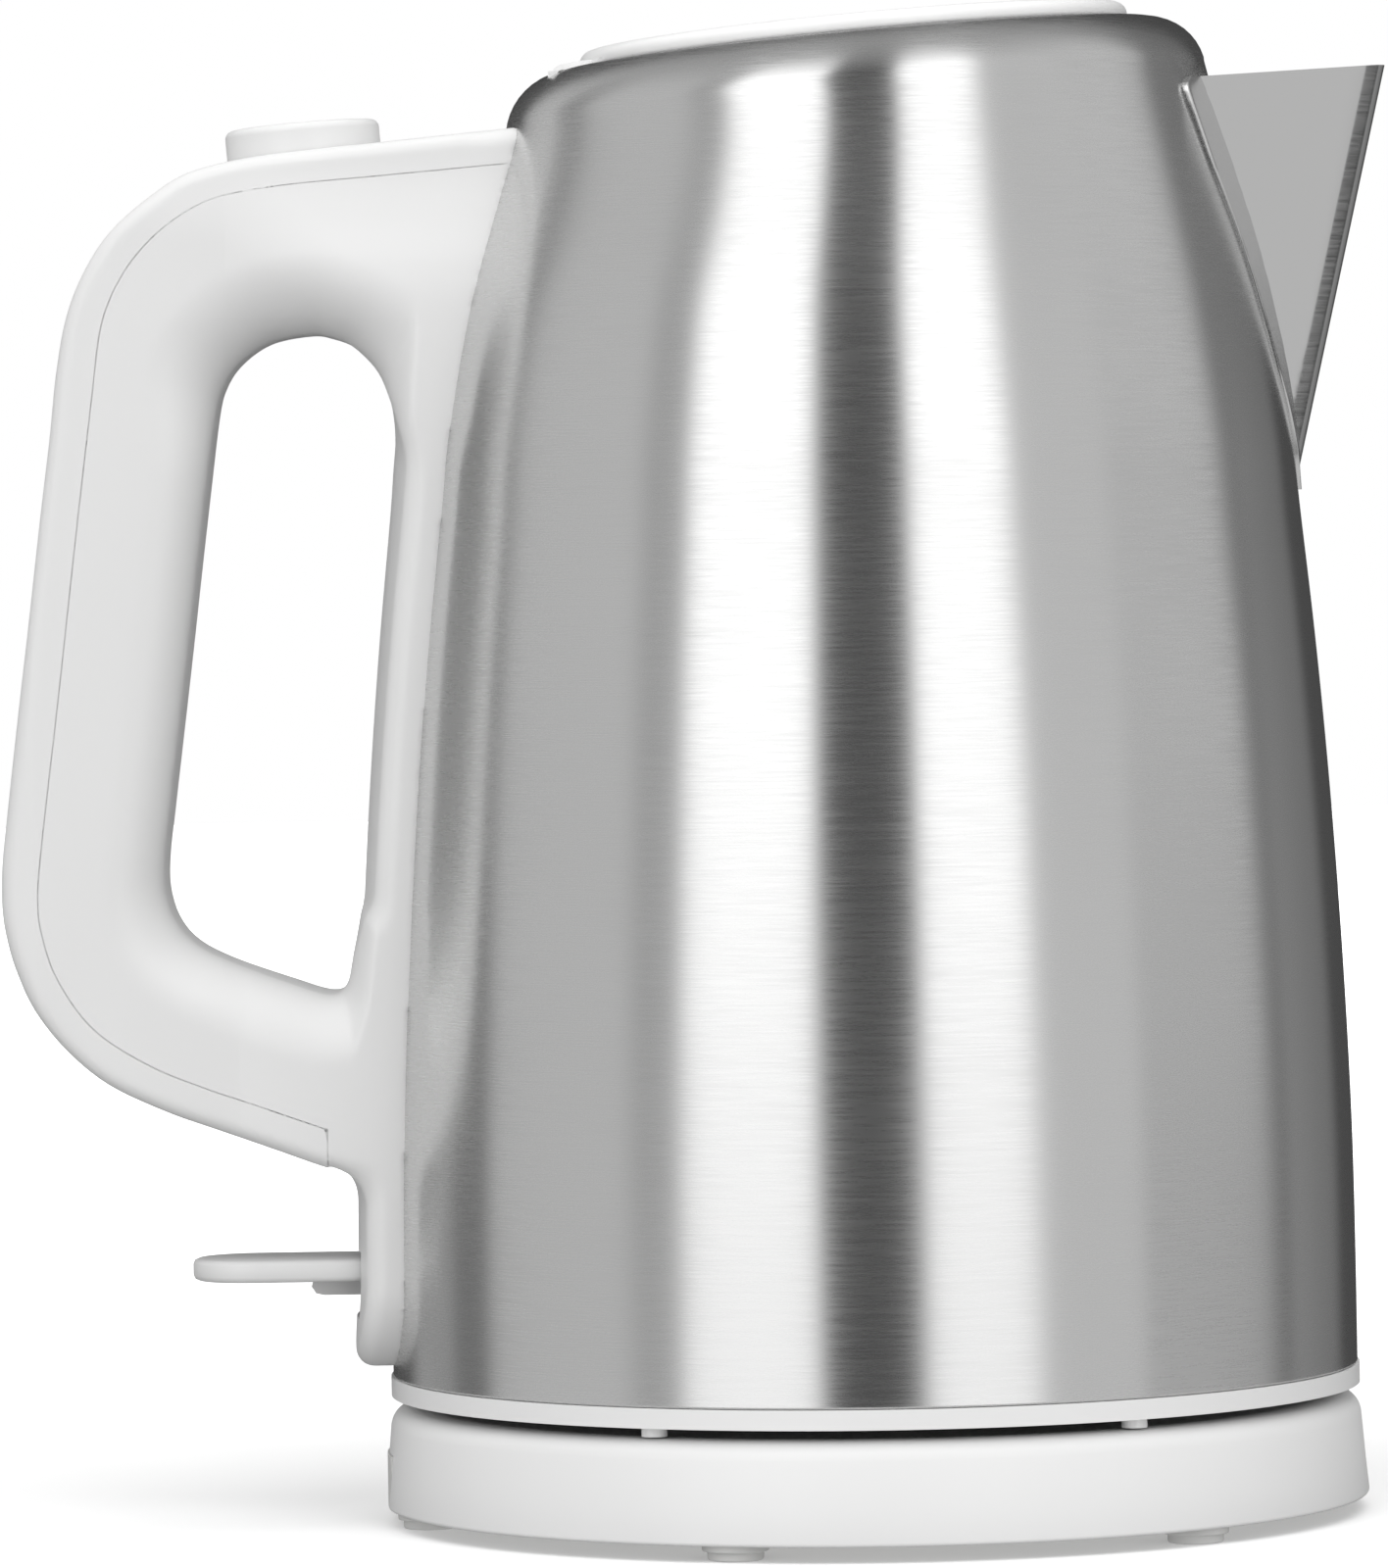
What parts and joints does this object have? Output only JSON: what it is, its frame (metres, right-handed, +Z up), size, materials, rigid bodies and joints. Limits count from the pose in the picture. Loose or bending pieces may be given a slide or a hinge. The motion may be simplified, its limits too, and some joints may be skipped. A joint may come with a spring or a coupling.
{
  "type": "electric kettle",
  "caption": "Cordless steel electric kettle with folded spout, rear handle with lid button, hinged lid, switch lever and round power base.",
  "frame": {"origin": "middle of the kettle's outline, on the surface it stands on", "axes": "+Z up, +X towards the spout, handle on the -X side"},
  "size_m": [0.223, 0.1574, 0.2405],
  "materials": {
    "white_plastic": "satin",
    "handle_plastic": "satin",
    "inner_plastic": "matt",
    "dark_plastic": "matt",
    "brushed_steel": "brushed round the jug",
    "plain_steel": "plain",
    "aluminium": "plain",
    "brass": "plain",
    "rubber": "matt"
  },
  "bodies": {
    "power_base": {"base_housing": "white_plastic", "base_floor": "inner_plastic", "base_feet": "rubber", "base_connector": "dark_plastic", "connector_contacts": "brass", "cord_gland": "inner_plastic", "cord_clamp": "white_plastic", "base_screws": "plain_steel"},
    "coupler": {"coupler_socket": "dark_plastic"},
    "jug": {"body_shell": "brushed_steel", "spout": "brushed_steel", "spout_filter": "inner_plastic", "lid_collar": "white_plastic", "steam_tube": "plain_steel", "heating_plate": "plain_steel", "heat_diffuser": "aluminium", "heating_element": "plain_steel", "bimetal_discs": "brass", "controller": "dark_plastic", "coupler_cap": "dark_plastic", "jug_base": "white_plastic", "jug_base_screws": "plain_steel", "handle_grip": "handle_plastic", "handle_cover": "handle_plastic", "handle_screws": "plain_steel", "button_spring": "plain_steel", "lever_pin": "plain_steel", "hinge_pin": "plain_steel", "hinge_spring": "plain_steel"},
    "lid": {"lid_top": "handle_plastic", "lid_liner": "inner_plastic", "lid_seal": "rubber"},
    "lid_button": {"lid_button": "handle_plastic"},
    "latch": {"latch_slider": "inner_plastic"},
    "switch_lever": {"switch_lever": "handle_plastic"}
  },
  "joints": [
    {"name": "jug_lift", "type": "slide", "parent": "power_base", "child": "coupler", "axis": [0, 0, 1], "range_m": [0, 0.15]},
    {"name": "jug_swivel", "type": "hinge", "parent": "coupler", "child": "jug", "pos_m": [0.02685, 0, 0.025], "axis": [0, 0, 1], "continuous": true},
    {"name": "lid_hinge", "type": "hinge", "parent": "jug", "child": "lid", "pos_m": [-0.01931, 0, 0.22934], "axis": [0, -1, 0], "range_deg": [0, 85]},
    {"name": "button_press", "type": "slide", "parent": "jug", "child": "lid_button", "axis": [0.0732, 0, -0.9973], "range_m": [0, 0.003], "stiffness_N_per_m": 600, "springref_m": -0.004, "deforming": ["button_spring"]},
    {"name": "latch_slide", "type": "slide", "parent": "jug", "child": "latch", "axis": [-0.9973, 0, -0.0732], "range_m": [0, 0.0025]},
    {"name": "lever_tilt", "type": "hinge", "parent": "jug", "child": "switch_lever", "pos_m": [-0.04315, 0, 0.0406], "axis": [0, -1, 0], "range_deg": [0, 8]}
  ],
  "couplings": [
    {"joint": "latch_slide", "follows": "button_press", "ratio": 0.8}
  ]
}
